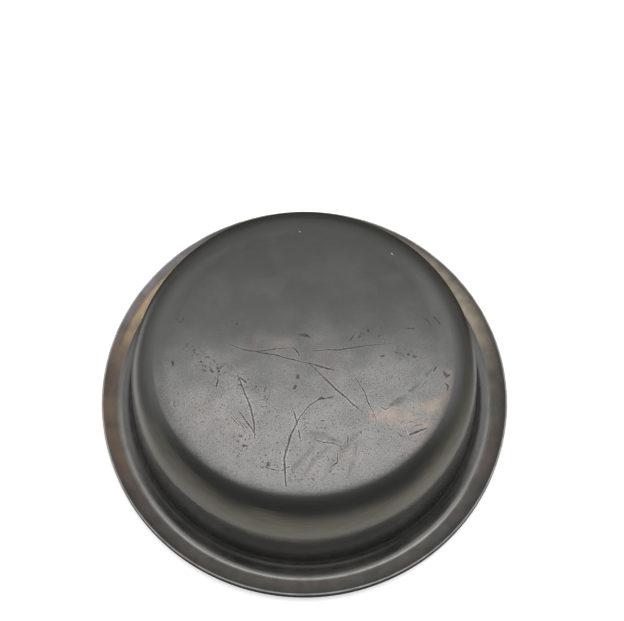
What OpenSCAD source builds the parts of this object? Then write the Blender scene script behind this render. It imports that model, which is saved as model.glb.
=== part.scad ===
// Rubber cup diaphragm: one moulded rubber cup with a wedge rim and a sealing bead.
// The cup stands on its open side. The origin is on its axis, in the plane that the bead rests on,
// and +Z points up through the closed end. Sizes are in millimetres.

/* [Rim] */
// Outer diameter of the rim
rim_d = 208; // [180:1:240]
// Height of the rim's outer edge, from its flat underside to its top
rim_edge_h = 6; // [4.8:0.1:7.5]
// Width of the wedge band, from the rim's outer edge in to the crease
rim_band_w = 8.6; // [8.2:0.1:12]
// Width of the narrow flat along the top of the outer edge
rim_land_w = 0.9; // [0.4:0.1:1.6]
// Rounding of the rim's upper outer edge
rim_top_r = 0.6; // [0.3:0.1:1.2]
// Rounding of the rim's lower outer edge
rim_foot_r = 0.8; // [0.3:0.1:1.2]

/* [Sealing bead] */
// Height of the bead below the rim's flat underside
bead_h = 0.7; // [0.4:0.1:1.2]
// Width of the bead at its foot
bead_w = 3.6; // [2.8:0.1:4]
// Distance from the rim's outer edge to the middle of the bead
bead_inset = 6.2; // [4:0.1:6.2]

/* [Cup] */
// Thickness of the rubber sheet that the cup is made of
sheet_t = 3.2; // [2.2:0.1:4]
// Overall height, from the bead to the closed end
cup_h = 62; // [52:1:80]
// Draft of the side wall, in degrees
wall_draft = 4.5; // [1:0.5:9]
// Outside radius of the bend from the rim up into the wall
root_r = 7.8; // [5:0.1:10]
// Outside radius of the shoulder between the wall and the closed end
shoulder_r = 22; // [14:1:26]

/* [Hidden] */
$fn = 180;
// Largest turn of one step along a rounded stretch of the section
arc_step = 4;

rim_radius = rim_d / 2;
crease_radius = rim_radius - rim_band_w;
bead_radius = rim_radius - bead_inset;
// The bead touches the ground plane, so the rim's flat underside is one bead height above it
underside_z = bead_h;
sheet_top_z = underside_z + sheet_t;
rim_top_z = underside_z + rim_edge_h;

// Centres of the two roundings of the rim's edge
foot_centre = [rim_radius - rim_foot_r, underside_z + rim_foot_r];
top_centre = [rim_radius - rim_top_r, rim_top_z - rim_top_r];

// The bead is a flat arc that is bead_w wide and bead_h high
bead_arc_r = (bead_w * bead_w / 4 + bead_h * bead_h) / (2 * bead_h);
bead_half_angle = asin(bead_w / 2 / bead_arc_r);
bead_centre = [bead_radius, bead_arc_r];

// Unit vectors out of the wall and up along it
wall_normal = [cos(wall_draft), sin(wall_draft)];
wall_up = [-sin(wall_draft), cos(wall_draft)];

// Both faces of the bend above the crease turn about one centre, so the sheet keeps its thickness
root_centre = [crease_radius, sheet_top_z + root_r];
root_end = root_centre - root_r * wall_normal;

// The wall runs up until the shoulder's arc can meet both it and the plane of the closed end
shoulder_start_z = cup_h - shoulder_r + shoulder_r * wall_normal[1];
shoulder_start = root_end + (shoulder_start_z - root_end[1]) / wall_up[1] * wall_up;
shoulder_centre = shoulder_start - shoulder_r * wall_normal;

// Points along an arc, from one angle to another, both ends included
function arc(centre, radius, from, to) =
    let (steps = ceil(abs(to - from) / arc_step))
    [for (i = [0:steps])
        let (angle = from + (to - from) * i / steps)
        centre + radius * [cos(angle), sin(angle)]];

// The hollow side of the section: closed end, shoulder, wall and the bend out to the rim
function hollow_side() = concat(
    [[0, cup_h - sheet_t]],
    arc(shoulder_centre, shoulder_r - sheet_t, 90, wall_draft),
    arc(root_centre, root_r + sheet_t, 180 + wall_draft, 270)
);

// The sealing bead under the rim
function bead() = arc(bead_centre, bead_arc_r, 270 - bead_half_angle, 270 + bead_half_angle);

// The rim's rounded outer edge, and the narrow flat that the wedge slopes down from
function rim_edge() = concat(
    arc(foot_centre, rim_foot_r, 270, 360),
    arc(top_centre, rim_top_r, 0, 90),
    [[top_centre[0] - rim_land_w, rim_top_z]]
);

// The outside of the section: crease, bend, wall, shoulder and closed end
function outer_side() = concat(
    arc(root_centre, root_r, 270, 180 + wall_draft),
    arc(shoulder_centre, shoulder_r, wall_draft, 90),
    [[0, cup_h]]
);

module diaphragm_cup() {
    color("#5c5a59")
        rotate_extrude()
            polygon(concat(hollow_side(), bead(), rim_edge(), outer_side()));
}

diaphragm_cup();
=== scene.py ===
"""A rubber cup diaphragm, dressed for a photograph on a pale floor.

The cup is one compression-moulded piece that stands on its open side. Sizes are in metres and in
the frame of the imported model, unless a name says millimetres, degrees or pixels.
"""

import logging
import math
from collections.abc import Sequence
from dataclasses import dataclass, field
from enum import Enum
from typing import Any

import bmesh
import bpy
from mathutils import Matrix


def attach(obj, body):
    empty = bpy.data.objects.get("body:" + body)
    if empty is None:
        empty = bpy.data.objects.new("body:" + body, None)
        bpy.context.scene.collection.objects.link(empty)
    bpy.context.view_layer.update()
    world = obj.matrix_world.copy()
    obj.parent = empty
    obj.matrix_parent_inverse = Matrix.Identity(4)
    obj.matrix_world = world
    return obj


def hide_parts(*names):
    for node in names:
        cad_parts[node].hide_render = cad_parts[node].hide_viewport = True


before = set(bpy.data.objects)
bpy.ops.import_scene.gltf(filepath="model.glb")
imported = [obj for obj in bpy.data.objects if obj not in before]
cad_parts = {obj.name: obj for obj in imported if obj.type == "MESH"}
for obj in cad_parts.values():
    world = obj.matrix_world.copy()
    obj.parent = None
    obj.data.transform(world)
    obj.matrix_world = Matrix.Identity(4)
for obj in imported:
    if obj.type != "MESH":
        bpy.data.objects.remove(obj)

LOG = logging.getLogger("diaphragm")

Point = tuple[float, float]
SocketLike = bpy.types.NodeSocket | float | Sequence[float]
Window = tuple[float, float, float, float]

MM = 0.001
BODY = "root"
CAD_NODE = "diaphragm_cup"
# Farther than any millimetre or degree that a window is set on
FAR = 400.0


def linear(hex_colour: str) -> tuple[float, float, float, float]:
    """Turns an sRGB colour into the linear values that shaders use.

    Args:
        hex_colour: The colour as "#rrggbb".

    Returns:
        Linear red, green, blue and an alpha of 1.
    """
    shares = [int(hex_colour[i : i + 2], 16) / 255 for i in (1, 3, 5)]
    low_end, offset, slope, power = 0.04045, 0.055, 12.92, 2.4
    rgb = [s / slope if s <= low_end else ((s + offset) / (1 + offset)) ** power for s in shares]
    return (rgb[0], rgb[1], rgb[2], 1.0)


def add_node(
    tree: bpy.types.NodeTree,
    kind: str,
    inputs: dict[int | str, Any] | None = None,
    output: int | str = 0,
    **settings: Any,
) -> bpy.types.NodeSocket | None:
    """Adds one node to a tree, with its settings, its values and its links.

    Args:
        tree: The tree that the node goes into.
        kind: Blender's name of the node's type.
        inputs: Values or linked sockets, by the input's number or name.
        output: Number or name of the output that is wanted.
        **settings: Properties of the node, such as its operation.

    Returns:
        The wanted output, whose node gives the other ones, or None for a node without outputs.
    """
    node = tree.nodes.new(kind)
    for name, value in settings.items():
        setattr(node, name, value)
    for key, value in (inputs or {}).items():
        if isinstance(value, bpy.types.NodeSocket):
            tree.links.new(value, node.inputs[key])
        else:
            node.inputs[key].default_value = value
    return node.outputs[output] if len(node.outputs) else None


def window(tree: bpy.types.NodeTree, value: SocketLike, edges: Window) -> bpy.types.NodeSocket:
    """Makes a soft-edged window on a value.

    Args:
        tree: The tree that it is built in.
        value: The value that is tested.
        edges: Where the window starts, is full, starts to fade and ends.

    Returns:
        1 inside the window and 0 outside.
    """
    start, full, fade, end = edges
    rise = add_node(
        tree, "ShaderNodeMapRange", {0: value, 1: start, 2: full}, interpolation_type="SMOOTHSTEP"
    )
    fall = add_node(
        tree,
        "ShaderNodeMapRange",
        {0: value, 1: fade, 2: end, 3: 1.0, 4: 0.0},
        interpolation_type="SMOOTHSTEP",
    )
    return add_node(tree, "ShaderNodeMath", {0: rise, 1: fall}, operation="MULTIPLY")


def above(start: float, full: float) -> Window:
    """Gives the edges of a window that stays open past them."""
    return (start, full, FAR, FAR + 1)


def below(fade: float, end: float) -> Window:
    """Gives the edges of a window that is open up to them."""
    return (-FAR - 1, -FAR, fade, end)


def product(tree: bpy.types.NodeTree, *factors: SocketLike) -> SocketLike:
    """Multiplies covers and strengths.

    Args:
        tree: The tree that the nodes go into.
        *factors: Sockets and numbers.

    Returns:
        Their product.
    """
    result = factors[0]
    for factor in factors[1:]:
        result = add_node(tree, "ShaderNodeMath", {0: result, 1: factor}, operation="MULTIPLY")
    return result


def left_over(tree: bpy.types.NodeTree, *factors: SocketLike) -> bpy.types.NodeSocket:
    """Works out what a product of covers leaves free.

    Args:
        tree: The tree that the nodes go into.
        *factors: Sockets and numbers.

    Returns:
        1 less their product.
    """
    taken = product(tree, *factors)
    return add_node(tree, "ShaderNodeMath", {0: 1.0, 1: taken}, operation="SUBTRACT")


@dataclass(frozen=True)
class CupSection:
    """Half section of the moulded sheet, from the axis outwards.

    The sizes are those of the part's source. Only the flat along the top of the rim's edge is
    narrower, because the wedge of the real one runs out to the rounding.
    """

    rim_d: float = 208 * MM
    rim_edge_h: float = 6 * MM
    rim_band_w: float = 8.6 * MM
    rim_land_w: float = 0.3 * MM
    rim_top_r: float = 0.6 * MM
    rim_foot_r: float = 0.8 * MM
    bead_h: float = 0.7 * MM
    bead_w: float = 3.6 * MM
    bead_inset: float = 6.2 * MM
    sheet_t: float = 3.2 * MM
    cup_h: float = 62 * MM
    wall_draft: float = 4.5
    root_r: float = 7.8 * MM
    shoulder_r: float = 22 * MM
    arc_step: float = 3.0
    small_arc_step: float = 12.0
    longest_run: float = 1.9 * MM
    mould_softness: float = 0.35 * MM

    @staticmethod
    def arc(centre: Point, radius: float, start: float, end: float, step: float) -> list[Point]:
        """Steps along an arc.

        Args:
            centre: Centre of the arc.
            radius: Its radius.
            start: First angle, in degrees.
            end: Last angle, in degrees.
            step: Largest turn between two points, in degrees.

        Returns:
            The points, both ends included.
        """
        steps = math.ceil(abs(end - start) / step)
        angles = [math.radians(start + (end - start) * i / steps) for i in range(steps + 1)]
        return [(centre[0] + radius * math.cos(a), centre[1] + radius * math.sin(a)) for a in angles]

    @staticmethod
    def softened(before: Point, corner: Point, after: Point, radius: float) -> list[Point]:
        """Rounds one corner the way that a polished mould leaves it.

        Args:
            before: Point before the corner.
            corner: The sharp corner.
            after: Point after the corner.
            radius: Radius of the rounding.

        Returns:
            Points of a short curve that takes the corner's place.
        """
        steps, longest_share = 4, 0.45
        towards, away = ((p[0] - corner[0], p[1] - corner[1]) for p in (before, after))
        long_in, long_out = math.hypot(*towards), math.hypot(*away)
        turn = math.acos(-(towards[0] * away[0] + towards[1] * away[1]) / (long_in * long_out))
        longest = longest_share * min(long_in, long_out)
        reach = min(radius * math.tan(turn / 2), longest)
        first = (corner[0] + towards[0] / long_in * reach, corner[1] + towards[1] / long_in * reach)
        last = (corner[0] + away[0] / long_out * reach, corner[1] + away[1] / long_out * reach)
        shares = [i / steps for i in range(steps + 1)]
        return [
            tuple(
                (1 - t) ** 2 * first[k] + 2 * t * (1 - t) * corner[k] + t**2 * last[k] for k in (0, 1)
            )
            for t in shares
        ]

    def outline(self) -> list[Point]:
        """Walks round the section.

        Returns:
            Points as (radius, height), from the outside of the closed end over the rim and the bead
            to the inside of the closed end.
        """
        rim = self.rim_d / 2
        crease = rim - self.rim_band_w
        sheet_top = self.bead_h + self.sheet_t
        rim_top = self.bead_h + self.rim_edge_h
        draft = math.radians(self.wall_draft)
        normal = (math.cos(draft), math.sin(draft))
        up = (-math.sin(draft), math.cos(draft))
        root_centre = (crease, sheet_top + self.root_r)
        root_end = tuple(root_centre[k] - self.root_r * normal[k] for k in (0, 1))
        shoulder_z = self.cup_h - self.shoulder_r * (1 - normal[1])
        climb = (shoulder_z - root_end[1]) / up[1]
        shoulder_centre = tuple(
            root_end[k] + climb * up[k] - self.shoulder_r * normal[k] for k in (0, 1)
        )
        bead_r = (self.bead_w**2 / 4 + self.bead_h**2) / (2 * self.bead_h)
        bead_half = math.degrees(math.asin(self.bead_w / 2 / bead_r))
        bead_centre = (rim - self.bead_inset, bead_r)
        foot_centre = (rim - self.rim_foot_r, self.bead_h + self.rim_foot_r)
        top_centre = (rim - self.rim_top_r, rim_top - self.rim_top_r)
        step, small = self.arc_step, self.small_arc_step

        shoulder = self.arc(shoulder_centre, self.shoulder_r, 90, self.wall_draft, step)
        root = self.arc(root_centre, self.root_r, 180 + self.wall_draft, 270, step)
        land_end = (top_centre[0] - self.rim_land_w, rim_top)
        top = self.arc(top_centre, self.rim_top_r, 90, 0, small)
        foot = self.arc(foot_centre, self.rim_foot_r, 0, -90, small)
        bead = self.arc(bead_centre, bead_r, 270 + bead_half, 270 - bead_half, small / 2)
        inner_root = self.arc(
            root_centre, self.root_r + self.sheet_t, 270, 180 + self.wall_draft, step
        )
        inner_shoulder = self.arc(
            shoulder_centre, self.shoulder_r - self.sheet_t, self.wall_draft, 90, step
        )
        soft = self.mould_softness
        points = [
            (0.0, self.cup_h),
            *shoulder,
            *root[:-1],
            *self.softened(root[-2], root[-1], land_end, soft),
            *self.softened(root[-1], land_end, top[0], soft),
            *top,
            *foot,
            *self.softened(foot[-1], bead[0], bead[1], soft),
            *bead[1:-1],
            *self.softened(bead[-2], bead[-1], inner_root[0], soft),
            *inner_root,
            *inner_shoulder,
            (0.0, self.cup_h - self.sheet_t),
        ]
        return self.divided(points)

    def divided(self, points: list[Point]) -> list[Point]:
        """Puts further points on the long straight runs.

        Args:
            points: Corners of the outline.

        Returns:
            The outline with no run longer than longest_run.
        """
        result = [points[0]]
        for a, b in zip(points, points[1:]):
            steps = max(1, math.ceil(math.dist(a, b) / self.longest_run))
            result += [
                (a[0] + (b[0] - a[0]) * i / steps, a[1] + (b[1] - a[1]) * i / steps)
                for i in range(1, steps + 1)
            ]
        return result


class Socket(Enum):
    """Inputs of the turning tree, each as its label and its type."""

    SECTION = ("Section", "NodeSocketGeometry")
    STEPS_ROUND = ("Steps round", "NodeSocketInt")
    UNEVENNESS = ("Unevenness", "NodeSocketFloat")
    WAVE_LENGTH = ("Wave length", "NodeSocketFloat")
    SEED = ("Seed", "NodeSocketInt")
    FINISH = ("Finish", "NodeSocketMaterial")


@dataclass(frozen=True)
class TurnedSection:
    """Geometry Nodes tree that turns a section about Z, one ring for each of its points."""

    name: str = "turned_section"
    steps_round: int = 288
    unevenness: float = 0.07 * MM
    wave_length: float = 34 * MM
    seed: int = 11
    join_distance: float = 0.002 * MM

    def tree(self, section_points: int) -> tuple[bpy.types.NodeTree, dict[Socket, str]]:
        """Builds the tree.

        Args:
            section_points: How many points the section has.

        Returns:
            The tree, and the identifier of each of its inputs.
        """
        tree = bpy.data.node_groups.new(self.name, "GeometryNodeTree")
        names = {
            socket: tree.interface.new_socket(
                socket.value[0], in_out="INPUT", socket_type=socket.value[1]
            ).identifier
            for socket in Socket
        }
        tree.interface.new_socket("Turned", in_out="OUTPUT", socket_type="NodeSocketGeometry")
        given = add_node(tree, "NodeGroupInput").node.outputs
        section, steps, unevenness, wave_length, seed, finish = given[: len(Socket)]
        surface = self.rings(tree, section, section_points, steps)
        uneven = self.shrunk(tree, surface, unevenness, wave_length, seed)
        smooth = add_node(tree, "GeometryNodeSetShadeSmooth", {0: uneven})
        real = add_node(tree, "GeometryNodeRealizeInstances", {0: smooth})
        dressed = add_node(
            tree, "GeometryNodeSetMaterial", {"Geometry": real, "Material": finish}
        )
        add_node(tree, "NodeGroupOutput", {0: dressed})
        return tree, names

    def rings(
        self,
        tree: bpy.types.NodeTree,
        section: bpy.types.NodeSocket,
        section_points: int,
        steps: bpy.types.NodeSocket,
    ) -> bpy.types.NodeSocket:
        """Turns the section about Z, by wrapping a flat grid round the axis.

        Args:
            tree: The tree that the nodes go into.
            section: The section, as a mesh of points.
            section_points: How many points it has.
            steps: How many steps a full turn has.

        Returns:
            The surface, closed and facing outwards.
        """
        columns = add_node(tree, "ShaderNodeMath", {0: steps, 1: 1.0}, operation="ADD")
        grid = add_node(
            tree,
            "GeometryNodeMeshGrid",
            {"Vertices X": columns, "Vertices Y": section_points},
        )
        index = add_node(tree, "GeometryNodeInputIndex")
        row, share = (
            add_node(
                tree, "ShaderNodeMath", {0: index, 1: float(section_points)}, operation=operation
            )
            for operation in ("MODULO", "DIVIDE")
        )
        column = add_node(tree, "ShaderNodeMath", {0: share}, operation="FLOOR")
        turn = add_node(tree, "ShaderNodeMath", {0: math.tau, 1: steps}, operation="DIVIDE")
        angle = add_node(tree, "ShaderNodeMath", {0: column, 1: turn}, operation="MULTIPLY")
        place = add_node(tree, "GeometryNodeInputPosition")
        on_section = add_node(
            tree,
            "GeometryNodeSampleIndex",
            {"Geometry": section, "Value": place, "Index": row},
            data_type="FLOAT_VECTOR",
            domain="POINT",
        )
        turned = add_node(
            tree,
            "ShaderNodeVectorRotate",
            {"Vector": on_section, "Angle": angle},
            rotation_type="Z_AXIS",
        )
        wrapped = add_node(tree, "GeometryNodeSetPosition", {"Geometry": grid, "Position": turned})
        joined = add_node(
            tree,
            "GeometryNodeMergeByDistance",
            {"Geometry": wrapped, "Distance": self.join_distance},
        )
        return add_node(tree, "GeometryNodeFlipFaces", {"Mesh": joined})

    @staticmethod
    def shrunk(
        tree: bpy.types.NodeTree,
        surface: bpy.types.NodeSocket,
        unevenness: bpy.types.NodeSocket,
        wave_length: bpy.types.NodeSocket,
        seed: bpy.types.NodeSocket,
    ) -> bpy.types.NodeSocket:
        """Lets the faces sink in by hundredths of a millimetre, as rubber that cools unevenly does.

        Args:
            tree: The tree that the nodes go into.
            surface: The even surface.
            unevenness: How far it sinks in at most.
            wave_length: Size of the pattern that it sinks in by.
            seed: Picks one such pattern.

        Returns:
            The uneven surface.
        """
        place = add_node(tree, "GeometryNodeInputPosition")
        waves = add_node(tree, "ShaderNodeMath", {0: 1.0, 1: wave_length}, operation="DIVIDE")
        noise = add_node(
            tree,
            "ShaderNodeTexNoise",
            {"Vector": place, "W": seed, "Scale": waves, "Detail": 1.0},
            noise_dimensions="4D",
        )
        sunk = add_node(tree, "ShaderNodeMath", {0: noise, 1: 1.0}, operation="SUBTRACT")
        depth = add_node(tree, "ShaderNodeMath", {0: sunk, 1: unevenness}, operation="MULTIPLY")
        normal = add_node(tree, "GeometryNodeInputNormal")
        offset = add_node(tree, "ShaderNodeVectorMath", {0: normal, 3: depth}, operation="SCALE")
        return add_node(
            tree, "GeometryNodeSetPosition", {"Geometry": surface, "Offset": offset}
        )

    def turn(
        self, name: str, outline: list[Point], finish: bpy.types.Material
    ) -> bpy.types.Object:
        """Turns an outline into a closed piece.

        Args:
            name: Name of the piece.
            outline: Points of the section as (radius, height).
            finish: Material of the piece.

        Returns:
            An object at the origin with a plain mesh.
        """
        line = bpy.data.meshes.new(name + "_section")
        edges = [(i, i + 1) for i in range(len(outline) - 1)]
        line.from_pydata([(r, 0.0, z) for r, z in outline], edges, [])
        holder = bpy.data.objects.new(name + "_section", line)
        bpy.context.scene.collection.objects.link(holder)
        tree, names = self.tree(len(outline))
        modifier = holder.modifiers.new(self.name, "NODES")
        modifier.node_group = tree
        values = {
            Socket.STEPS_ROUND: self.steps_round,
            Socket.UNEVENNESS: self.unevenness,
            Socket.WAVE_LENGTH: self.wave_length,
            Socket.SEED: self.seed,
            Socket.FINISH: finish,
        }
        for socket, value in values.items():
            modifier[names[socket]] = value
        shown = holder.evaluated_get(bpy.context.evaluated_depsgraph_get())
        mesh = bpy.data.meshes.new_from_object(shown)
        holder.modifiers.remove(modifier)
        bpy.data.objects.remove(holder)
        bpy.data.meshes.remove(line)
        mesh.name = name
        shape = bmesh.new()
        shape.from_mesh(mesh)
        bmesh.ops.recalc_face_normals(shape, faces=shape.faces)
        shape.to_mesh(mesh)
        shape.free()
        piece = bpy.data.objects.new(name, mesh)
        bpy.context.scene.collection.objects.link(piece)
        return piece


@dataclass(frozen=True)
class Mark:
    """A mark on the closed end: a line through points in millimetres, seen from above."""

    points: tuple[Point, ...]
    half_width: float
    # The share of the width at the ends, and the power that sets how soon the mark swells
    blunt: float = 0.35
    fullness: float = 0.6

    def half_widths(self) -> list[float]:
        """Works out how the mark swells and thins out.

        Returns:
            The half width at each point. At the ends it is the blunt share of the widest one,
            apart from a mark of one stroke, which is as wide all along.
        """
        if len(self.points) == 2:
            return [self.half_width, self.half_width]
        lengths = [math.dist(a, b) for a, b in zip(self.points, self.points[1:])]
        whole = sum(lengths)
        shares = [sum(lengths[:i]) / whole for i in range(len(self.points))]
        swells = [math.sin(math.pi * share) ** self.fullness for share in shares]
        return [self.half_width * (self.blunt + (1 - self.blunt) * swell) for swell in swells]


SCRATCHES = (
    Mark(((-36.5, 7.2), (-29.0, 4.0), (-16.2, 1.6), (-6.3, -1.2), (2.9, -3.7)), 0.5, 0.6),
    Mark(((2.9, -3.5), (8.7, -5.3), (14.5, -7.4)), 0.7, 0.5),
    Mark(((-27.4, 2.7), (-16.1, 3.9), (-5.6, 4.9)), 0.5),
    Mark(((-5.7, 5.0), (-3.6, 3.4), (-1.6, -0.2)), 0.6),
    Mark(((3.4, 3.1), (16.8, 3.4), (42.9, 6.4)), 0.55),
    Mark(((2.8, -3.9), (10.9, -12.4), (22.5, -24.0), (27.7, -28.5)), 0.7),
    Mark(((23.6, -8.8), (28.3, -18.0), (30.2, -23.5), (34.2, -33.6)), 0.4),
    Mark(((-31.8, -9.0), (-28.7, -17.1), (-25.6, -26.5), (-24.0, -33.2), (-23.5, -41.1)), 0.6, 0.6),
    Mark(((-31.7, -26.6), (-27.9, -31.7), (-23.2, -39.0)), 0.55, 0.5),
    Mark(((-35.0, -30.1), (-31.2, -34.5)), 0.3),
    Mark(((-33.9, -29.6), (-28.8, -35.6)), 0.3),
    Mark(((-30.9, -32.1), (-27.0, -35.5)), 0.28),
    Mark(((-30.7, -10.0), (-27.9, -12.6)), 0.6),
    Mark(((-41.4, -9.9), (-42.0, -14.9)), 0.45),
    Mark(((12.6, -21.3), (7.4, -21.4), (2.6, -24.5), (-2.5, -30.5)), 0.42, 0.8),
    Mark(((-2.5, -30.5), (-7.0, -40.4), (-10.2, -51.1), (-9.6, -56.9), (-9.0, -64.5)), 0.7, 0.55),
    Mark(((-5.1, -27.2), (-4.5, -30.7), (-3.6, -34.6)), 0.55, 0.6),
    Mark(((-2.9, -37.3), (-2.2, -41.2)), 0.5),
    Mark(((-3.5, -31.9), (0.6, -31.0)), 0.3),
    Mark(((-1.0, -37.4), (1.1, -35.0)), 0.3),
    Mark(((58.7, -12.8), (55.2, -17.8)), 0.3),
    Mark(((57.3, 19.9), (60.2, 18.1), (61.4, 15.4)), 0.45),
    Mark(((63.6, 19.7), (66.1, 16.2)), 0.5),
    Mark(((63.3, -6.4), (62.3, -8.2)), 0.6),
    Mark(((-62.1, -21.2), (-62.3, -23.0), (-61.1, -24.7)), 0.55),
    Mark(((36.1, -25.7), (38.4, -27.1), (40.6, -26.6)), 0.5),
    Mark(((43.5, -38.5), (45.3, -40.6), (46.7, -41.0)), 0.5),
    Mark(((49.1, -40.2), (52.5, -38.8), (57.3, -36.9)), 0.75, 0.7),
    Mark(((49.9, -37.0), (52.9, -35.2), (56.5, -34.6)), 0.4),
    Mark(((47.2, -34.8), (50.8, -33.3), (52.4, -34.1)), 0.35),
    Mark(((-19.0, -54.9), (-16.2, -56.0), (-12.0, -56.9)), 0.5, 0.6),
    Mark(((-11.0, -56.6), (-7.7, -54.8)), 0.4),
    Mark(((4.7, -42.0), (8.6, -43.2), (12.9, -43.3), (17.4, -45.5)), 0.45, 0.6),
    Mark(((15.6, -49.1), (18.4, -47.6), (19.9, -47.6)), 0.4),
    Mark(((15.2, -48.7), (14.8, -53.2), (11.3, -55.7)), 0.5, 0.6),
    Mark(((20.2, -40.2), (20.2, -43.5)), 0.4),
)

# Places where the skin is chipped or stuck with dirt
CHIPS = (
    Mark(((-3.2, -9.4), (-3.4, -10.8)), 0.85),
    Mark(((-4.4, -15.0), (-5.0, -16.2)), 0.85),
    Mark(((11.2, -21.0), (13.4, -20.8)), 0.5),
    Mark(((6.2, -22.0), (8.2, -21.3), (9.8, -21.4)), 0.9),
    Mark(((-1.8, 11.4), (1.1, 10.9), (3.0, 10.0)), 1.3),
    Mark(((49.4, 14.0), (53.6, 13.5)), 0.4),
    Mark(((66.6, -8.8), (68.3, -10.7), (69.9, -10.2)), 1.3),
    Mark(((67.2, -14.2), (68.6, -15.4), (68.4, -17.6)), 0.7),
    Mark(((-63.3, -2.0), (-62.7, -3.4)), 0.8),
    Mark(((21.7, 7.5), (23.1, 8.7), (24.7, 11.6)), 0.6),
    Mark(((37.2, -0.4), (38.6, 0.0)), 0.7),
    Mark(((31.0, 13.6), (31.4, 12.8)), 0.6),
)

# Groups of small chips, each with the reach of the group
CHIPPED_AREAS = (
    Mark(((-58.0, 6.2), (-54.5, 4.6), (-50.0, -0.5)), 7.0, 0.8),
    Mark(((-50.0, -1.2), (-42.0, -2.6)), 6.4),
    Mark(((-46.0, -6.3), (-39.5, -6.0)), 6.0),
    Mark(((-40.0, -11.5), (-30.0, -13.5)), 6.4),
    Mark(((-61.0, 19.5), (-58.5, 20.0)), 4.6),
    Mark(((-35.0, 18.0), (-32.0, 18.6)), 4.0),
    Mark(((-21.5, -16.0), (-17.5, -19.0)), 5.6),
    Mark(((-32.0, -41.0), (-28.0, -42.5), (-31.5, -47.0)), 5.6, 0.8),
    Mark(((-21.0, -52.0), (-18.0, -53.0)), 4.6),
    Mark(((28.0, 10.5), (38.0, 12.5)), 6.4),
    Mark(((46.0, 1.5), (52.0, -1.0)), 6.4),
    Mark(((-5.3, -60.1), (2.1, -62.4)), 4.2),
)

# Streaks where something was dragged through the dust
WIPES = (
    Mark(((25.0, -39.1), (17.3, -47.1), (12.3, -54.7), (8.0, -61.6)), 3.0, 0.5),
    Mark(((10.9, -45.6), (4.6, -51.3), (0.1, -57.8)), 2.6, 0.5),
    Mark(((24.5, -44.4), (22.6, -51.7), (19.7, -60.5)), 2.0, 0.5),
    Mark(((3.2, -46.5), (-5.7, -55.3)), 1.9, 0.4),
    Mark(((2.9, -38.6), (9.0, -40.2), (17.0, -43.5)), 2.6, 0.6),
    Mark(((-35.0, -4.0), (-26.0, 0.5)), 5.0, 0.7),
)

# Patches where the dust is a warmer, browner one
WARM_PATCHES = (
    Mark(((33.0, -30.5), (44.0, -30.6), (53.3, -29.0), (61.5, -26.0)), 8.0, 0.7),
    Mark(((44.5, -35.2), (50.0, -34.3), (56.8, -35.4)), 4.0, 0.8),
)
FAINT_PATCHES = (
    Mark(((-46.0, -27.0), (-30.0, -38.0)), 15.0, 0.9),
    Mark(((8.0, 6.0), (14.0, -10.0)), 10.0, 0.8),
    Mark(((-22.0, 9.0), (-8.0, 7.0)), 6.0, 0.8),
    Mark(((16.0, -52.0), (26.0, -55.0)), 8.0, 0.8),
    Mark(((-2.0, -48.0), (4.0, -58.0)), 7.0, 0.8),
)

# A brown stain along the rounded edge, on the right
EDGE_STAINS = (
    Mark(((69.5, -9.0), (67.1, -20.5), (62.9, -28.5), (57.5, -38.5), (49.0, -47.5)), 4.6, 0.6),
)

# The smear of a green grease pencil, and its tail
SMEARS = (
    Mark(((40.6, -25.4), (44.8, -23.6), (48.9, -20.6)), 2.4, 0.35),
    Mark(((50.4, -18.6), (54.6, -15.2)), 0.9),
    Mark(((58.6, -10.6), (63.4, -5.4)), 0.8),
)

# Pale flecks of lint and chalk
FLECKS = (
    Mark(((-1.4, 66.6), (-0.8, 66.4)), 0.25),
    Mark(((44.0, 54.2), (44.5, 53.6)), 0.4),
    Mark(((47.7, -36.9), (48.7, -40.2)), 0.15),
)


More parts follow.
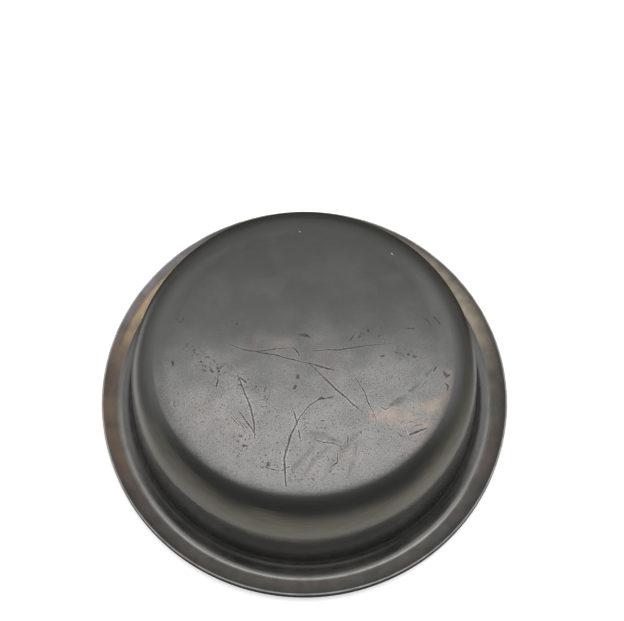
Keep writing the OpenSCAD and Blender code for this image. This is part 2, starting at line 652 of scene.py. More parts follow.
@dataclass(frozen=True)
class Whereabouts:
    """Sockets that say where on the cup a shaded point lies, in millimetres and degrees."""

    tree: bpy.types.NodeTree
    point: bpy.types.NodeSocket
    from_above: bpy.types.NodeSocket
    across: bpy.types.NodeSocket
    depth: bpy.types.NodeSocket
    height: bpy.types.NodeSocket
    radius: bpy.types.NodeSocket
    bearing: bpy.types.NodeSocket
    from_right: bpy.types.NodeSocket
    ring: bpy.types.NodeSocket

    @classmethod
    def of(
        cls, tree: bpy.types.NodeTree, ring_reach: float = 90.0, ring_squeeze: float = 8.0
    ) -> "Whereabouts":
        """Builds the sockets.

        Args:
            tree: Node tree of the material.
            ring_reach: Radius that stands for the whole section in the ring's pattern.
            ring_squeeze: How much thinner the ring's streaks are than they are long.

        Returns:
            The sockets. Bearings run from -180 to 180 degrees round the axis, with 0 to the right
            and 90 straight behind, and from_right is the bearing without its sign. The depth is
            the distance behind the axis. The ring is a point whose pattern runs round the cup in
            streaks.
        """
        place = add_node(tree, "ShaderNodeTexCoord", output="Object")
        point = add_node(tree, "ShaderNodeVectorMath", {0: place, 3: 1 / MM}, operation="SCALE")
        x = add_node(tree, "ShaderNodeSeparateXYZ", {0: point})
        y, z = x.node.outputs[1], x.node.outputs[2]
        flat = add_node(tree, "ShaderNodeCombineXYZ", {0: x, 1: y})
        radius = add_node(
            tree, "ShaderNodeVectorMath", {0: flat}, output="Value", operation="LENGTH"
        )
        turn = add_node(tree, "ShaderNodeMath", {0: y, 1: x}, operation="ARCTAN2")
        bearing = add_node(tree, "ShaderNodeMath", {0: turn}, operation="DEGREES")
        from_right = add_node(tree, "ShaderNodeMath", {0: bearing}, operation="ABSOLUTE")
        # Radius less height grows steadily along the section, from the closed end to the rim
        down = add_node(tree, "ShaderNodeMath", {0: radius, 1: z}, operation="SUBTRACT")
        squeezed = product(tree, down, ring_squeeze)
        way = add_node(tree, "ShaderNodeVectorMath", {0: flat}, operation="NORMALIZE")
        long_way = add_node(tree, "ShaderNodeVectorMath", {0: way, 3: ring_reach}, operation="SCALE")
        stacked = add_node(tree, "ShaderNodeCombineXYZ", {2: squeezed})
        ring = add_node(tree, "ShaderNodeVectorMath", {0: long_way, 1: stacked}, operation="ADD")
        return cls(tree, point, flat, x, y, z, radius, bearing, from_right, ring)


@dataclass(frozen=True)
class Zone:
    """A part of the cup with soft edges, set by windows in millimetres and degrees."""

    radius: Window | None = None
    height: Window | None = None
    depth: Window | None = None
    bearing: Window | None = None
    from_right: Window | None = None

    def on(self, where: Whereabouts) -> SocketLike:
        """Finds the zone.

        Args:
            where: Where the shaded point lies.

        Returns:
            1 inside the zone and 0 outside.
        """
        limits = (
            (where.radius, self.radius),
            (where.height, self.height),
            (where.depth, self.depth),
            (where.bearing, self.bearing),
            (where.from_right, self.from_right),
        )
        tree = where.tree
        return product(tree, *(window(tree, value, edges) for value, edges in limits if edges))


@dataclass(frozen=True)
class Speckle:
    """An uneven pattern with blotches of one size, in millimetres.

    Noise at the low level gives the least of the pattern, and noise at the high level the most.
    """

    size: float
    seed: int
    low: float
    high: float
    detail: float = 1.0
    streaked: bool = False
    least: float = 0.0
    most: float = 1.0
    # How far one step of the seed moves the noise, in millimetres
    seed_step: tuple[float, float, float] = (97.0, 61.0, 43.0)

    def on(self, where: Whereabouts) -> bpy.types.NodeSocket:
        """Makes the pattern.

        Args:
            where: Where the shaded point lies.

        Returns:
            The pattern. A streaked one runs round the cup in thin streaks.
        """
        place = where.ring if self.streaked else where.point
        shift = tuple(self.seed * step for step in self.seed_step)
        moved = add_node(where.tree, "ShaderNodeVectorMath", {0: place, 1: shift}, operation="ADD")
        noise = add_node(
            where.tree,
            "ShaderNodeTexNoise",
            {"Vector": moved, "Scale": 1 / self.size, "Detail": self.detail},
        )
        return add_node(
            where.tree,
            "ShaderNodeMapRange",
            {0: noise, 1: self.low, 2: self.high, 3: self.least, 4: self.most},
            interpolation_type="SMOOTHSTEP",
        )


@dataclass(frozen=True)
class MarkPainter:
    """Paints marks on the closed end, each from short straight strokes."""

    where: Whereabouts
    point: bpy.types.NodeSocket
    group: bpy.types.NodeTree

    @classmethod
    def on(
        cls, where: Whereabouts, wanders: tuple[tuple[float, float], ...] = ((0.9, 7.0), (0.35, 1.4))
    ) -> "MarkPainter":
        """Sets up the painter, with strokes that wander a little off the straight.

        Args:
            where: Where the shaded point lies.
            wanders: How far the strokes wander, and over what length, in millimetres.

        Returns:
            The painter.
        """
        tree, point = where.tree, where.from_above
        for reach, length in wanders:
            noise = add_node(
                tree,
                "ShaderNodeTexNoise",
                {"Vector": where.from_above, "Scale": 1 / length, "Detail": 0.0},
                output="Color",
            )
            shake = add_node(
                tree, "ShaderNodeVectorMath", {0: noise, 1: (0.5, 0.5, 0.5)}, operation="SUBTRACT"
            )
            point = add_node(
                tree,
                "ShaderNodeVectorMath",
                {0: shake, 1: (reach, reach, 0.0), 2: point},
                operation="MULTIPLY_ADD",
            )
        return cls(where, point, cls.stroke())

    @staticmethod
    def stroke() -> bpy.types.NodeTree:
        """Builds the node group of one stroke.

        Returns:
            A group that gives 0 on the line between two points and 1 at its edge.
        """
        tree = bpy.data.node_groups.new("stroke", "ShaderNodeTree")
        sockets = (
            ("Point", "NodeSocketVector"),
            ("Start", "NodeSocketVector"),
            ("End", "NodeSocketVector"),
            ("Half width", "NodeSocketFloat"),
            ("Widening", "NodeSocketFloat"),
        )
        for name, kind in sockets:
            tree.interface.new_socket(name, in_out="INPUT", socket_type=kind)
        tree.interface.new_socket("Away", in_out="OUTPUT", socket_type="NodeSocketFloat")
        given = add_node(tree, "NodeGroupInput").node.outputs
        point, start, end, half_width, widening = given[: len(sockets)]
        along = add_node(tree, "ShaderNodeVectorMath", {0: end, 1: start}, operation="SUBTRACT")
        reach = add_node(tree, "ShaderNodeVectorMath", {0: point, 1: start}, operation="SUBTRACT")
        done, whole = (
            add_node(
                tree,
                "ShaderNodeVectorMath",
                {0: vector, 1: along},
                output="Value",
                operation="DOT_PRODUCT",
            )
            for vector in (reach, along)
        )
        # The share is clamped by nodes of its own, and no number is turned into a vector, because
        # the steps that the renderer adds for those fill up the shader's working memory
        ratio = add_node(tree, "ShaderNodeMath", {0: done, 1: whole}, operation="DIVIDE")
        started = add_node(tree, "ShaderNodeMath", {0: ratio, 1: 0.0}, operation="MAXIMUM")
        share = add_node(tree, "ShaderNodeMath", {0: started, 1: 1.0}, operation="MINIMUM")
        passed = add_node(tree, "ShaderNodeVectorMath", {0: along, 3: share}, operation="SCALE")
        distance = add_node(
            tree,
            "ShaderNodeVectorMath",
            {0: reach, 1: passed},
            output="Value",
            operation="DISTANCE",
        )
        wide = add_node(
            tree,
            "ShaderNodeMath",
            {0: share, 1: widening, 2: half_width},
            operation="MULTIPLY_ADD",
        )
        away = add_node(tree, "ShaderNodeMath", {0: distance, 1: wide}, operation="DIVIDE")
        add_node(tree, "NodeGroupOutput", {0: away})
        return tree

    def away(self, marks: tuple[Mark, ...]) -> SocketLike:
        """Measures how far a point is from the nearest of a set of marks.

        Args:
            marks: The marks.

        Returns:
            0 on a mark's line and 1 at its edge.
        """
        tree = self.where.tree
        nearest: SocketLike = FAR
        for mark in marks:
            widths = mark.half_widths()
            ends = zip(mark.points, mark.points[1:])
            for (start, end), (wide, wide_end) in zip(ends, zip(widths, widths[1:])):
                away = add_node(
                    tree,
                    "ShaderNodeGroup",
                    {
                        "Point": self.point,
                        "Start": (*start, 0.0),
                        "End": (*end, 0.0),
                        "Half width": wide,
                        "Widening": wide_end - wide,
                    },
                    node_tree=self.group,
                )
                nearest = add_node(
                    tree, "ShaderNodeMath", {0: nearest, 1: away}, operation="MINIMUM"
                )
        return nearest

    def paint(self, away: SocketLike, core: float = 0.25, edge: float = 1.0) -> SocketLike:
        """Covers the marks up to an edge.

        Args:
            away: The distance from the marks.
            core: The distance up to which the cover is full.
            edge: The distance at which the cover ends.

        Returns:
            1 on the marks and 0 beside them.
        """
        return add_node(
            self.where.tree,
            "ShaderNodeMapRange",
            {0: away, 1: core, 2: edge, 3: 1.0, 4: 0.0},
            interpolation_type="SMOOTHSTEP",
        )


@dataclass
class Coats:
    """Colour, roughness and relief of a surface, built up from the bottom coat."""

    tree: bpy.types.NodeTree
    colour: SocketLike
    roughness: SocketLike
    dusty_roughness: float
    relief: SocketLike = 0.0

    def lay(
        self,
        cover: SocketLike,
        colour: str,
        roughness: float | None = None,
        thickness: float = 0.0,
    ) -> None:
        """Lays one more coat over the others.

        Args:
            cover: How much of the surface the coat covers, from 0 to 1.
            colour: Its colour as "#rrggbb".
            roughness: Its roughness, or None for a dusty coat.
            thickness: How far it stands up, in millimetres, or below 0 for a groove.
        """
        self.colour = add_node(
            self.tree,
            "ShaderNodeMix",
            {0: cover, 6: self.colour, 7: linear(colour)},
            output=2,
            data_type="RGBA",
        )
        self.roughness = add_node(
            self.tree,
            "ShaderNodeMix",
            {
                0: cover,
                2: self.roughness,
                3: self.dusty_roughness if roughness is None else roughness,
            },
            data_type="FLOAT",
        )
        if thickness:
            self.relief = add_node(
                self.tree,
                "ShaderNodeMath",
                {0: cover, 1: thickness, 2: self.relief},
                operation="MULTIPLY_ADD",
            )


@dataclass(frozen=True)
class Covers:
    """How much of the surface each coat covers where it is densest, from 0 to 1."""

    bloom: float = 0.03
    # The olive film on the shoulder; its extra in front is painted sheen
    film_and_sheen_front: float = 0.22
    film_back: float = 0.06
    # Pale wax in the bend above the rim; its extra in front is painted sheen
    bend_wax_and_sheen_front: float = 0.21
    bend_back: float = 0.02
    foot_streaks: float = 0.05
    thin_dust: float = 0.014
    smudges: float = 0.045
    dust: float = 0.38
    dust_wiped_off: float = 0.78
    haze_kept_off_as_shade: float = 0.9
    # Share of the haze kept off the front of the wall, as painted shade
    warm_patches: float = 0.32
    faint_patches: float = 0.08
    wipes: float = 0.25
    edge_stain: float = 0.19
    smear: float = 0.85
    pits: float = 0.6
    lips: float = 0.2
    chipped_areas: float = 0.9
    flecks: float = 0.75
    rim_haze: float = 0.42
    rim_brown: float = 0.42
    rim_pale: float = 0.62
    rim_tan: float = 0.85
    rim_lilac: float = 0.45
    # Painted highlights along the top of the rim's edge and in the crease
    rim_edge_highlight: float = 0.5
    crease: float = 0.95
    # Painted highlight in the bend above the rim, in front and stronger on the left
    bend_highlight: float = 0.17
    bend_highlight_more_on_left: float = 0.2
    plate_smudges: float = 0.12
    plate_ring: float = 0.6


@dataclass(frozen=True)
class Zones:
    """Where on the cup each coat lies. Left and right are those of a viewer in front of it."""

    front: Zone = Zone(depth=below(-95, 20))
    wall: Zone = Zone(height=(9, 14, 36, 46))
    foot: Zone = Zone(radius=above(84, 87))
    bend: Zone = Zone(radius=(87.5, 94, 96, 97), height=(2, 3.5, 5.5, 12))
    shoulder: Zone = Zone(radius=above(76, 77))
    # These three are set on heights and depths that wander or rise towards the sides
    film_heights: Window = (34, 51, 55, 61)
    face_heights: Window = above(61, 61.86)
    dusty_depths: Window = below(-24, 30)
    # The wedge of the rim, its slope and the bands of stains on it
    wedge: Zone = Zone(radius=above(94.8, 96.0))
    wedge_slope: Zone = Zone(radius=above(95, 95.8), height=above(2.2, 3.4))
    wedge_inner: Zone = Zone(radius=below(98.2, 100.6))
    wedge_outer: Zone = Zone(radius=above(99, 101.2))
    wedge_fading: Zone = Zone(radius=below(96, 104.5))
    # Where the painted highlight along the top of the rim's edge lies
    rim_top: Zone = Zone(radius=above(103, 103.3), height=(6.3, 6.55, 7, 8))
    left: Zone = Zone(from_right=above(140, 172))
    left_front: Zone = Zone(from_right=(105, 150, 165, FAR))
    far_left: Zone = Zone(bearing=(110, 132, 148, 174))
    far_right: Zone = Zone(bearing=(2, 28, 60, 90))
    # Where the painted highlight in the crease lies, in front
    crease: Zone = Zone(
        radius=(94.7, 95.1, 95.6, 96.1), height=(2.2, 3.4, 5, 6), depth=below(-78, -42)
    )
    # Where the painted highlight in the bend above the rim lies, in front
    bend_highlight: Zone = Zone(
        radius=(92.8, 94.6, 95.8, 97), height=(2.2, 3.4, 4.8, 6), depth=below(-10, 40)
    )
    # The floor of the hollow, and the ring that the plate has worn on it
    inner_floor: Zone = Zone(radius=below(62, 72), height=(50, 57.5, 59.2, 59.6))
    plate_ring: Zone = Zone(radius=(44.6, 45.6, 48.4, 49.4))


@dataclass(frozen=True)
class MouldedRubber:
    """Black synthetic rubber, compression-moulded in a polished steel mould and then handled.

    The mould's polish gives it a satin sheen that mirrors a lamp softly. Wax and dust that settle on
    it lift the black to a warm grey, and whatever scrapes the skin off leaves a dull line.
    """

    name: str = "compression_moulded_rubber"
    rubber: str = "#242523"
    wax: str = "#8f8c80"
    # Olive of the film on the shoulder, which in front also paints its sheen
    film_and_sheen: str = "#948d6c"
    dust: str = "#aaa8a5"
    warm_dust: str = "#b8987f"
    scrape: str = "#161514"
    chip: str = "#1b1918"
    chalk: str = "#d8d4cc"
    grease_pencil: str = "#42472f"
    grime: str = "#6b5b52"
    rim_haze: str = "#a08c86"
    rim_olive: str = "#8f9184"
    # Colour of the painted highlights along the rim's edge and in the crease
    painted_highlight_tone: str = "#d4d2cc"
    rim_brown: str = "#a07c60"
    rim_tan: str = "#c9ad86"
    rim_lilac: str = "#a29aa0"
    rim_pale: str = "#c9b89e"
    roughness: float = 0.32
    wall_roughness: float = 0.22
    rubbed_roughness: float = 0.8
    dusty_roughness: float = 0.5
    scraped_roughness: float = 0.8
    specular_level: float = 0.8
    ior: float = 1.52
    covers: Covers = Covers()
    zones: Zones = Zones()
    # Height at which the finely polished wall goes over into the coarser closed end
    polish_change: tuple[float, float] = (44.0, 58.0)
    # Depths of the mould's grain and of the pits, in millimetres
    wall_grain: float = 0.003
    face_grain: float = 0.012
    pit_depth: float = 0.03
    # How far the dust comes down over the edge, per square millimetre to the side of the axis
    side_lift: float = 1 / 3200
    # How far the haze on the shoulder and the edge of the dust wander, in millimetres
    haze_wander: float = 4.0
    dust_wander: float = 16.0
    # Radii between which the dust thins out towards the edge, and what is left of it there
    worn_from: float = 58.0
    worn_to: float = 65.5
    worn_share: float = 0.64
    # How much more haze its clouds hold
    cloudiness: float = 0.6
    # The mould's grain and the dust of a real cup are too fine for the picture, so they are coarser
    grain: Speckle = Speckle(0.8, 3, 0.3, 0.7, 2.0)
    dust_grain: Speckle = Speckle(0.55, 7, 0.41, 0.6, most=0.7)
    clouds: Speckle = Speckle(26.0, 1, 0.3, 0.7)
    lines: Speckle = Speckle(8.0, 4, 0.3, 0.7, streaked=True, least=0.5, most=0.9)
    haze_streaks: Speckle = Speckle(5.0, 2, 0.35, 0.7, 3.0)
    drift: Speckle = Speckle(17.0, 5, 0.2, 0.8, 2.0)
    dust_clouds: Speckle = Speckle(9.0, 6, 0.25, 0.75, 2.0, least=0.28, most=0.78)
    patch_clouds: Speckle = Speckle(7.0, 8, 0.25, 0.6, 2.0)
    pits: Speckle = Speckle(1.2, 9, 0.6, 0.72)
    ragged_edges: Speckle = Speckle(1.1, 10, 0.5, 0.64, 3.0, least=0.75)
    wipe_lines: Speckle = Speckle(3.0, 11, 0.3, 0.6, least=0.4)
    rim_streaks: Speckle = Speckle(6.0, 12, 0.2, 0.8, 3.0, least=0.65, most=1.35)
    rim_blotches: Speckle = Speckle(14.0, 13, 0.35, 0.65, 2.0, least=0.4)
    plate_smudges: Speckle = Speckle(21.0, 15, 0.4, 0.65, 2.0)
    smudges: Speckle = Speckle(13.0, 16, 0.42, 0.7, 3.0)
    ruddy_streaks: Speckle = Speckle(30.0, 17, 0.36, 0.64, 2.0, streaked=True)
    flakes: Speckle = Speckle(1.5, 18, 0.56, 0.66, 2.0)

    def build(self) -> bpy.types.Material:
        """Builds the material.

        Returns:
            The finished material.
        """
        material = bpy.data.materials.new(self.name)
        material.use_nodes = True
        tree = material.node_tree
        tree.nodes.clear()
        where = Whereabouts.of(tree)
        low, high = self.polish_change
        # The steel that forms the wall and the rim is polished finer than that of the closed end
        satin, grain_depth = (
            add_node(tree, "ShaderNodeMapRange", {0: where.height, 1: low, 2: high, 3: wall, 4: face})
            for wall, face in (
                (self.wall_roughness, self.roughness),
                (self.wall_grain, self.face_grain),
            )
        )
        # The clamp has rubbed the wedge of the rim dull
        gloss = add_node(
            tree,
            "ShaderNodeMix",
            {0: self.zones.wedge.on(where), 2: satin, 3: self.rubbed_roughness},
            data_type="FLOAT",
        )
        coats = Coats(tree, linear(self.rubber), gloss, self.dusty_roughness)
        self.haze(where, coats)
        self.closed_end(where, coats)
        self.rim(where, coats)
        self.hollow(where, coats)
        relief = add_node(
            tree,
            "ShaderNodeMath",
            {0: self.grain.on(where), 1: grain_depth, 2: coats.relief},
            operation="MULTIPLY_ADD",
        )
        height = product(tree, relief, MM)
        bump = add_node(
            tree, "ShaderNodeBump", {"Strength": 1.0, "Distance": 1.0, "Height": height}
        )
        shader = add_node(
            tree,
            "ShaderNodeBsdfPrincipled",
            {
                "Base Color": coats.colour,
                "Roughness": coats.roughness,
                "IOR": self.ior,
                "Specular IOR Level": self.specular_level,
                "Normal": bump,
            },
        )
        add_node(tree, "ShaderNodeOutputMaterial", {"Surface": shader})
        return material

    def haze(self, where: Whereabouts, coats: Coats) -> None:
        """Lays the wax that blooms out of the rubber, and pale wax in the bend above the rim.

        In front the haze is kept off the wall as painted shade, while the film on the shoulder and
        the wax in the bend lie thicker there, partly as painted sheen.

        Args:
            where: Where the shaded point lies.
            coats: The coats so far.
        """
        tree, covers, zones = where.tree, self.covers, self.zones
        clouds, front = self.clouds.on(where), zones.front.on(where)
        hazy = add_node(
            tree,
            "ShaderNodeMath",
            {0: clouds, 1: self.cloudiness, 2: self.lines.on(where)},
            operation="MULTIPLY_ADD",
        )
        # Painted shade: the wax haze is kept off the front of the wall, which leaves it darker
        kept = left_over(tree, front, zones.wall.on(where), covers.haze_kept_off_as_shade)
        coats.lay(product(tree, hazy, kept, covers.bloom), self.wax)
        wandering = add_node(
            tree,
            "ShaderNodeMath",
            {0: clouds, 1: self.haze_wander, 2: where.height},
            operation="MULTIPLY_ADD",
        )
        film_and_sheen = product(tree, window(tree, wandering, zones.film_heights), zones.shoulder.on(where))
        # Partly painted sheen: the film on the shoulder and the wax in the bend lie far thicker in
        # front
        for place, tone, in_front, behind in (
            (film_and_sheen, self.film_and_sheen, covers.film_and_sheen_front, covers.film_back),
            (zones.bend.on(where), self.wax, covers.bend_wax_and_sheen_front, covers.bend_back),
        ):
            cover = add_node(
                tree,
                "ShaderNodeMath",
                {0: front, 1: in_front, 2: behind},
                operation="MULTIPLY_ADD",
            )
            coats.lay(product(tree, place, hazy, cover), tone)
        streaks = product(tree, self.haze_streaks.on(where), zones.foot.on(where))
        coats.lay(product(tree, hazy, streaks, kept, covers.foot_streaks), self.wax)

    def closed_end(self, where: Whereabouts, coats: Coats) -> None:
        """Lays the dust, the stains and the scratches of the closed end.

        Args:
            where: Where the shaded point lies.
            coats: The coats so far.
        """
        tree, covers = where.tree, self.covers
        painter = MarkPainter.on(where)
        # At the sides the dust reaches a little further over the edge
        across_squared = product(tree, where.across, where.across)
        lifted = add_node(
            tree,
            "ShaderNodeMath",
            {0: across_squared, 1: self.side_lift, 2: where.height},
            operation="MULTIPLY_ADD",
        )
        face = window(tree, lifted, self.zones.face_heights)
        grainy = add_node(
            tree,
            "ShaderNodeMath",
            {0: self.dust_clouds.on(where), 1: self.dust_grain.on(where)},
            operation="ADD",
        )
        everywhere = product(tree, face, grainy)
        coats.lay(product(tree, everywhere, covers.thin_dust), self.dust)
        coats.lay(product(tree, self.smudges.on(where), face, covers.smudges), self.wax)
        partly = self.wipe_lines.on(where)
        wipes = product(tree, painter.paint(painter.away(WIPES), core=0.0), partly)
        settled = product(tree, everywhere, self.near_part(where))
        kept = left_over(tree, wipes, covers.dust_wiped_off)
        coats.lay(product(tree, settled, kept, covers.dust), self.dust)
        clouded = self.patch_clouds.on(where)
        for marks, cover in (
            (WARM_PATCHES, covers.warm_patches),
            (FAINT_PATCHES, covers.faint_patches),
        ):
            patch = painter.paint(painter.away(marks), core=0.1)
            coats.lay(product(tree, patch, clouded, face, cover), self.warm_dust)
        coats.lay(product(tree, wipes, face, covers.wipes), self.grime)
        # The stain alone runs on over the edge
        stain = painter.paint(painter.away(EDGE_STAINS), core=0.1)
        coats.lay(product(tree, stain, clouded, covers.edge_stain), self.warm_dust)
        smear = painter.paint(painter.away(SMEARS), core=0.4)
        coats.lay(product(tree, smear, partly, face, covers.smear), self.grease_pencil)
        self.damage(where, coats, painter, face, settled)

    def near_part(self, where: Whereabouts) -> bpy.types.NodeSocket:
        """Finds the part of the closed end that the dust has settled on.

        Args:
            where: Where the shaded point lies.

        Returns:
            1 on the near half, 0 on the far half, and less than 1 at the worn edge.
        """
        tree = where.tree
        drifted = add_node(
            tree,
            "ShaderNodeMath",
            {0: self.drift.on(where), 1: self.dust_wander, 2: where.depth},
            operation="MULTIPLY_ADD",
        )
        worn = add_node(
            tree,
            "ShaderNodeMapRange",
            {0: where.radius, 1: self.worn_from, 2: self.worn_to, 3: 1.0, 4: self.worn_share},
        )
        return product(tree, window(tree, drifted, self.zones.dusty_depths), worn)

    def damage(
        self,
        where: Whereabouts,
        coats: Coats,
        painter: MarkPainter,
        face: SocketLike,
        settled: SocketLike,
    ) -> None:
        """Lays the pits, the scratches, the chips and the flecks of the closed end.

        Args:
            where: Where the shaded point lies.
            coats: The coats so far.
            painter: Paints the marks.
            face: 1 on the closed end.
            settled: How much dust has settled.
        """
        tree, covers = where.tree, self.covers
        pits = product(tree, self.pits.on(where), settled, covers.pits)
        coats.lay(pits, self.scrape, self.scraped_roughness, -self.pit_depth)
        torn = painter.away(SCRATCHES)
        # A scratch pushes up a pale lip on both sides
        lips = painter.paint(torn, core=1.1, edge=2.3)
        coats.lay(product(tree, lips, settled, covers.lips), self.chalk)
        ragged = self.ragged_edges.on(where)
        flaked = product(tree, self.flakes.on(where), covers.chipped_areas)
        for away, core, cover, colour in (
            (painter.away(CHIPPED_AREAS), 0.0, flaked, self.chip),
            (painter.away(CHIPS), 0.45, ragged, self.chip),
            (torn, 0.45, ragged, self.scrape),
            (painter.away(FLECKS), 0.25, covers.flecks, self.chalk),
        ):
            mark = product(tree, painter.paint(away, core), cover, face)
            coats.lay(mark, colour, self.scraped_roughness)

    def rim(self, where: Whereabouts, coats: Coats) -> None:
        """Lays the haze and the stains of the rim, and painted highlights along its edge, in the
        crease and in the bend above it.

        Args:
            where: Where the shaded point lies.
            coats: The coats so far.
        """
        tree, covers, zones = where.tree, self.covers, self.zones
        slope, fading = zones.wedge_slope.on(where), zones.wedge_fading.on(where)
        uneven, patchy = self.rim_streaks.on(where), self.rim_blotches.on(where)
        ruddy = self.ruddy_streaks.on(where)
        for share, tone in ((ruddy, self.rim_haze), (left_over(tree, ruddy), self.rim_olive)):
            cover = product(tree, slope, uneven, fading, share, covers.rim_haze)
            coats.lay(cover, tone, self.rubbed_roughness)
        left, far_right = zones.left.on(where), zones.far_right.on(where)
        far_left = product(tree, zones.far_left.on(where), uneven)
        inner, outer = zones.wedge_inner.on(where), zones.wedge_outer.on(where)
        for cover, tone in (
            (product(tree, left, patchy, covers.rim_brown), self.rim_brown),
            (product(tree, far_right, uneven, fading, covers.rim_pale), self.rim_pale),
            (product(tree, far_left, inner, covers.rim_tan), self.rim_tan),
            (product(tree, far_left, outer, covers.rim_lilac), self.rim_lilac),
        ):
            coats.lay(product(tree, slope, cover), tone)
        # Painted highlights: a pale line along the top of the rim's edge, and a brighter one in the
        # crease in front
        for zone, cover in ((zones.rim_top, covers.rim_edge_highlight), (zones.crease, covers.crease)):
            coats.lay(product(tree, zone.on(where), uneven, cover), self.painted_highlight_tone)
        # Painted highlight: a pale band in the bend above the rim, in front and stronger on the left
        highlight_strength = add_node(
            tree,
            "ShaderNodeMath",
            {0: zones.left_front.on(where), 1: covers.bend_highlight_more_on_left, 2: covers.bend_highlight},
            operation="MULTIPLY_ADD",
        )
        coats.lay(product(tree, zones.bend_highlight.on(where), uneven, highlight_strength), self.dust)

    def hollow(self, where: Whereabouts, coats: Coats) -> None:
        """Lays the wear ring and the smudges that the push plate leaves inside.

        Args:
            where: Where the shaded point lies.
            coats: The coats so far.
        """
        tree, covers = where.tree, self.covers
        floor = self.zones.inner_floor.on(where)
        smudges = self.plate_smudges.on(where)
        coats.lay(product(tree, floor, smudges, covers.plate_smudges), self.wax)
        ring = product(tree, floor, self.zones.plate_ring.on(where), covers.plate_ring)
        coats.lay(ring, self.scrape, self.scraped_roughness)


@dataclass
class DiaphragmCup:
    """The whole moulded cup, which is one piece."""

    section: CupSection = field(default_factory=CupSection)
    turning: TurnedSection = field(default_factory=TurnedSection)
    finish: MouldedRubber = field(default_factory=MouldedRubber)
    name: str = "moulded_cup"

    def build(self) -> bpy.types.Object:
        """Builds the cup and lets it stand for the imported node.

        Returns:
            The finished piece.
        """
        piece = self.turning.turn(self.name, self.section.outline(), self.finish.build())
        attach(piece, BODY)
        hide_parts(CAD_NODE)
        return piece


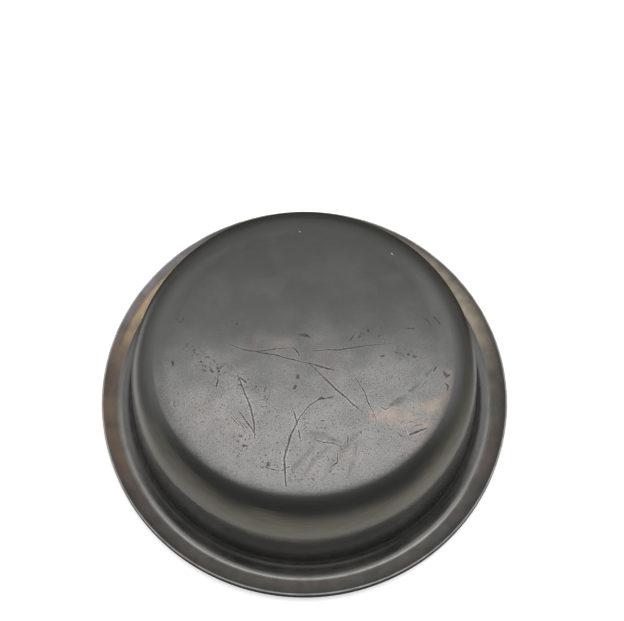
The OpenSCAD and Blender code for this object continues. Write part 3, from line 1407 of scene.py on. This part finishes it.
@dataclass(frozen=True)
class PaleFloor:
    """A wide white table top that ends out of sight.

    The rubber mirrors a table whose colour is painted for reflections alone: grey painted shade
    close round the cup, white in front and in a band beside the cup, grey farther out, painted
    dark just behind it and a painted glow in a patch on its left.
    Distances are in metres from the cup's axis.
    """

    name: str = "floor"
    reach: float = 6.0
    paint: str = "#e6e6e6"
    mirror_near: str = "#ffffff"
    mirror_side: str = "#8c8c8c"
    # The front goes over into the sides between these, from -1 in front of the axis to 1 behind it
    side_from: float = -0.6
    side_to: float = 0.2
    # The white band, which lies farther out on the left than on the right
    side_band: Window = (0.10, 0.128, 0.142, 0.182)
    side_shift: float = 0.021
    # A painted dark patch behind the cup, which only reflections see
    painted_dark_behind: str = "#2c2c2c"
    behind_depth: Window = (0.02, 0.055, 0.5, 0.8)
    behind_width: Window = (-0.16, -0.12, 0.14, 0.20)
    # The painted shade of the cup, which only reflections see, fades out between these
    close_by: tuple[float, float] = (0.104, 0.124)
    # A painted glow on the table's left, which only reflections see
    left_painted_glow: float = 0.55
    left_width: Window = (-0.21, -0.18, -0.14, -0.12)
    left_depth: Window = (-0.07, -0.02, 0.08, 0.12)
    seen_glow: float = 0.6

    def painted_reflection(
        self, tree: bpy.types.NodeTree, place: bpy.types.NodeSocket, x: SocketLike, y: SocketLike
    ) -> SocketLike:
        """Works out the painted colour of the table that only reflections see.

        Args:
            tree: Node tree of the table's material.
            place: Where the shaded point lies.
            x: Its distance to the right of the cup's axis.
            y: Its distance behind the cup's axis.

        Returns:
            The colour.
        """
        way = add_node(tree, "ShaderNodeVectorMath", {0: place}, operation="NORMALIZE")
        sideways = add_node(tree, "ShaderNodeSeparateXYZ", {0: way})
        away = add_node(
            tree, "ShaderNodeVectorMath", {0: place}, output="Value", operation="LENGTH"
        )
        shifted = add_node(
            tree,
            "ShaderNodeMath",
            {0: sideways, 1: self.side_shift, 2: away},
            operation="MULTIPLY_ADD",
        )
        beyond_band = left_over(tree, window(tree, shifted, self.side_band))
        painted_cup_shade = add_node(
            tree,
            "ShaderNodeMapRange",
            {0: away, 1: self.close_by[0], 2: self.close_by[1], 3: 1.0, 4: 0.0},
        )
        sides = add_node(
            tree,
            "ShaderNodeMapRange",
            {0: sideways.node.outputs[1], 1: self.side_from, 2: self.side_to},
            interpolation_type="SMOOTHSTEP",
        )
        behind = product(
            tree, window(tree, y, self.behind_depth), window(tree, x, self.behind_width)
        )
        colour: SocketLike = linear(self.mirror_near)
        # Painted shade close round the cup, painted grey at the sides and painted dark behind, for
        # reflections alone
        for cover, tone in (
            (painted_cup_shade, self.mirror_side),
            (product(tree, sides, beyond_band), self.mirror_side),
            (behind, self.painted_dark_behind),
        ):
            colour = add_node(
                tree,
                "ShaderNodeMix",
                {0: cover, 6: colour, 7: linear(tone)},
                output=2,
                data_type="RGBA",
            )
        return colour

    def material(self) -> bpy.types.Material:
        """Builds the material of the table top.

        Returns:
            A matt white that also glows to the camera, so that the table shows white, and shows
            painted tones and a painted glow to reflections.
        """
        material = bpy.data.materials.new("white_table_top")
        material.use_nodes = True
        tree = material.node_tree
        tree.nodes.clear()
        place = add_node(tree, "ShaderNodeTexCoord", output="Object")
        x = add_node(tree, "ShaderNodeSeparateXYZ", {0: place})
        y = x.node.outputs[1]
        glossy = add_node(tree, "ShaderNodeLightPath", output="Is Glossy Ray")
        # Reflections see the painted tones instead of the white paint
        colour = add_node(
            tree,
            "ShaderNodeMix",
            {0: glossy, 6: linear(self.paint), 7: self.painted_reflection(tree, place, x, y)},
            output=2,
            data_type="RGBA",
        )
        paint = add_node(tree, "ShaderNodeBsdfDiffuse", {"Color": colour})
        # A painted glow on the left, seen only in reflections
        painted_left_glow = product(
            tree,
            window(tree, x, self.left_width),
            window(tree, y, self.left_depth),
            glossy,
            self.left_painted_glow,
        )
        glow = add_node(
            tree,
            "ShaderNodeMath",
            {0: glossy.node.outputs["Is Camera Ray"], 1: self.seen_glow, 2: painted_left_glow},
            operation="MULTIPLY_ADD",
        )
        light = add_node(tree, "ShaderNodeEmission", {"Strength": glow})
        both = add_node(tree, "ShaderNodeAddShader", {0: paint, 1: light})
        add_node(tree, "ShaderNodeOutputMaterial", {"Surface": both})
        return material

    def build(self) -> bpy.types.Object:
        """Builds the floor.

        Returns:
            The floor.
        """
        mesh = bpy.data.meshes.new(self.name)
        r = self.reach
        mesh.from_pydata([(-r, -r, 0), (r, -r, 0), (r, r, 0), (-r, r, 0)], [], [(0, 1, 2, 3)])
        mesh.materials.append(self.material())
        floor = bpy.data.objects.new(self.name, mesh)
        bpy.context.scene.collection.objects.link(floor)
        return floor


@dataclass(frozen=True)
class RoomGlow:
    """A soft patch of light in the room round the table.

    Heights are degrees above the horizon. Bearings are degrees from straight behind the cup, to the
    right up to 180, and to the left down to -180.
    """

    strength: float
    height: Window
    bearing: Window = (-FAR - 1, -FAR, FAR, FAR + 1)
    both_sides: bool = False


@dataclass(frozen=True)
class StudioLight:
    """One soft panel over the cup, and a dim room with a pale wall on each side behind it."""

    panel_glow: float = 3.3
    panel_size: tuple[float, float] = (0.521, 0.253)
    panel_place: tuple[float, float, float] = (0.0185, 0.0135, 0.46)
    backdrop: float = 1.0
    glows: tuple[RoomGlow, ...] = (
        RoomGlow(0.20, below(4, 34)),
        RoomGlow(0.48, below(4, 34), (-150, -115, -70, -35)),
        RoomGlow(0.87, below(4, 34), above(130, 165), both_sides=True),
        RoomGlow(0.48, below(4, 34), below(50, 100), both_sides=True),
        RoomGlow(1.75, (6, 30, 56, 72), (-105, -80, -45, -20)),
        RoomGlow(2.10, (4, 28, 56, 72), (20, 45, 80, 105)),
        RoomGlow(0.95, (12, 28, 45, 62), below(15, 45), both_sides=True),
        RoomGlow(0.52, (45, 58, 66, 75), below(25, 60), both_sides=True),
    )

    def room(self) -> None:
        """Builds the room's own light as the world."""
        world = bpy.data.worlds.new("studio_room")
        world.use_nodes = True
        bpy.context.scene.world = world
        tree = world.node_tree
        tree.nodes.clear()
        towards = add_node(tree, "ShaderNodeTexCoord", output="Generated")
        x = add_node(tree, "ShaderNodeSeparateXYZ", {0: towards})
        y, z = x.node.outputs[1], x.node.outputs[2]
        rise = add_node(tree, "ShaderNodeMath", {0: z}, operation="ARCSINE")
        height = add_node(tree, "ShaderNodeMath", {0: rise}, operation="DEGREES")
        turn = add_node(tree, "ShaderNodeMath", {0: x, 1: y}, operation="ARCTAN2")
        bearing = add_node(tree, "ShaderNodeMath", {0: turn}, operation="DEGREES")
        spread = add_node(tree, "ShaderNodeMath", {0: bearing}, operation="ABSOLUTE")
        total: SocketLike = 0.0
        for glow in self.glows:
            across = window(tree, spread if glow.both_sides else bearing, glow.bearing)
            patch = add_node(
                tree,
                "ShaderNodeMath",
                {0: across, 1: window(tree, height, glow.height)},
                operation="MULTIPLY",
            )
            total = add_node(
                tree,
                "ShaderNodeMath",
                {0: patch, 1: glow.strength, 2: total},
                operation="MULTIPLY_ADD",
            )
        seen = add_node(tree, "ShaderNodeLightPath", output="Is Camera Ray")
        shown = add_node(
            tree, "ShaderNodeMix", {0: seen, 2: total, 3: self.backdrop}, data_type="FLOAT"
        )
        shining = add_node(tree, "ShaderNodeBackground", {"Strength": shown})
        add_node(tree, "ShaderNodeOutputWorld", {"Surface": shining})

    def panel(self) -> bpy.types.Object:
        """Builds the panel over the cup.

        Returns:
            The lamp.
        """
        data = bpy.data.lights.new("soft_panel", "AREA")
        data.shape = "RECTANGLE"
        data.size, data.size_y = self.panel_size
        # A flat lamp's power is its glow times its area times pi
        data.energy = self.panel_glow * self.panel_size[0] * self.panel_size[1] * math.pi
        lamp = bpy.data.objects.new("soft_panel", data)
        lamp.location = self.panel_place
        lamp.visible_camera = False
        bpy.context.scene.collection.objects.link(lamp)
        return lamp

    def build(self) -> None:
        """Builds the room's light and the panel."""
        self.room()
        self.panel()


@dataclass(frozen=True)
class PhotoCamera:
    """The camera of the photograph, which looks down at the cup from the front."""

    place: tuple[float, float, float] = (0.0, -0.26917, 0.78380)
    pitch: float = -67.903
    turn: float = 0.822
    focal_pixels: float = 1600.0
    frame_pixels: float = 624.0
    sensor: float = 36.0
    clip: tuple[float, float] = (0.01, 50.0)

    def build(self) -> bpy.types.Object:
        """Builds the camera and makes it the scene's own.

        Returns:
            The camera.
        """
        data = bpy.data.cameras.new("photo_camera")
        data.sensor_width = self.sensor
        data.lens = self.focal_pixels / self.frame_pixels * self.sensor
        data.clip_start, data.clip_end = self.clip
        camera = bpy.data.objects.new("photo_camera", data)
        camera.location = self.place
        camera.rotation_euler = (
            math.radians(90 + self.pitch),
            0.0,
            -math.radians(self.turn),
        )
        bpy.context.scene.collection.objects.link(camera)
        bpy.context.scene.camera = camera
        return camera


def main() -> None:
    """Builds the scene in order and logs each piece."""
    logging.basicConfig(level=logging.INFO, format="%(name)s: %(message)s")
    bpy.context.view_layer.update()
    bpy.context.scene.view_settings.view_transform = "Standard"
    PhotoCamera().build()
    StudioLight().build()
    PaleFloor().build()
    cup = DiaphragmCup().build()
    LOG.info("%s: %d faces, rides on %s", cup.name, len(cup.data.polygons), BODY)


if __name__ == "__main__":
    main()
